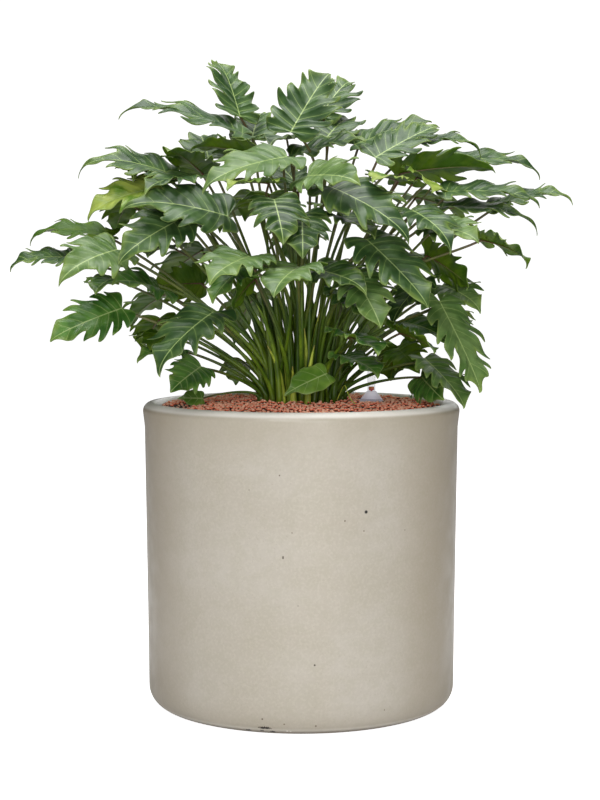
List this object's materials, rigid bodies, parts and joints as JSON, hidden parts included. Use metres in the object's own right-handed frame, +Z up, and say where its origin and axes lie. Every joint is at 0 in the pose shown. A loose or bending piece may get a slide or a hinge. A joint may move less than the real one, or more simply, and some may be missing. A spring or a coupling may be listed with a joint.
{
  "type": "potted philodendron xanadu",
  "caption": "Dome of lobed, drooping leaves on slender stalks, standing in clay granules in a tall round glazed pot with a water gauge.",
  "frame": {"origin": "centre of the pot's base, on the surface it stands on", "axes": "+Z up along the pot's axis; the side that faces the picture's viewer is -Y; +X to the viewer's right"},
  "size_m": [0.7586, 0.5091, 0.8875],
  "materials": {
    "glazed_pot": "glossy taupe glaze",
    "clay_granules": "dull porous fired clay",
    "crown_tissue": "pale waxy sheaths",
    "clear_tube": "clear polished plastic",
    "gauge_skirt": "cloudy grey-lilac plastic",
    "red_float": "glossy red-orange plastic",
    "leaf_grey_green": "satin grey-green blade",
    "leaf_pale_green": "satin pale green blade",
    "leaf_deep_green": "satin deep green blade",
    "leaf_olive_green": "satin olive underside"
  },
  "bodies": {
    "root": {"pot": "glazed_pot", "substrate": "clay_granules", "crown": "crown_tissue", "gauge_tube": "clear_tube", "gauge_skirt": "gauge_skirt", "gauge_float": "red_float", "leaf_01": "leaf_grey_green", "leaf_02": "leaf_grey_green", "leaf_03": "leaf_grey_green", "leaf_04": "leaf_olive_green", "leaf_05": "leaf_grey_green", "leaf_06": "leaf_olive_green", "leaf_07": "leaf_grey_green", "leaf_08": "leaf_grey_green", "leaf_09": "leaf_deep_green", "leaf_10": "leaf_pale_green", "leaf_11": "leaf_pale_green", "leaf_12": "leaf_grey_green", "leaf_13": "leaf_grey_green", "leaf_14": "leaf_grey_green", "leaf_15": "leaf_olive_green", "leaf_16": "leaf_grey_green", "leaf_17": "leaf_grey_green", "leaf_18": "leaf_grey_green", "leaf_19": "leaf_grey_green", "leaf_20": "leaf_olive_green", "leaf_21": "leaf_grey_green", "leaf_22": "leaf_grey_green", "leaf_23": "leaf_grey_green", "leaf_24": "leaf_deep_green", "leaf_25": "leaf_olive_green", "leaf_26": "leaf_grey_green", "leaf_27": "leaf_grey_green", "leaf_28": "leaf_grey_green", "leaf_29": "leaf_grey_green", "leaf_30": "leaf_deep_green", "leaf_31": "leaf_olive_green", "leaf_32": "leaf_deep_green", "leaf_33": "leaf_pale_green", "leaf_34": "leaf_pale_green", "leaf_35": "leaf_pale_green", "leaf_36": "leaf_deep_green", "leaf_37": "leaf_grey_green", "leaf_38": "leaf_grey_green", "leaf_39": "leaf_pale_green", "leaf_40": "leaf_olive_green", "leaf_41": "leaf_olive_green", "leaf_42": "leaf_olive_green", "leaf_43": "leaf_deep_green", "leaf_44": "leaf_grey_green", "leaf_45": "leaf_deep_green", "leaf_46": "leaf_deep_green", "leaf_47": "leaf_olive_green", "leaf_48": "leaf_grey_green", "leaf_49": "leaf_deep_green", "leaf_50": "leaf_deep_green", "leaf_51": "leaf_olive_green", "leaf_52": "leaf_deep_green", "leaf_53": "leaf_deep_green", "leaf_54": "leaf_grey_green"}
  },
  "joints": []
}
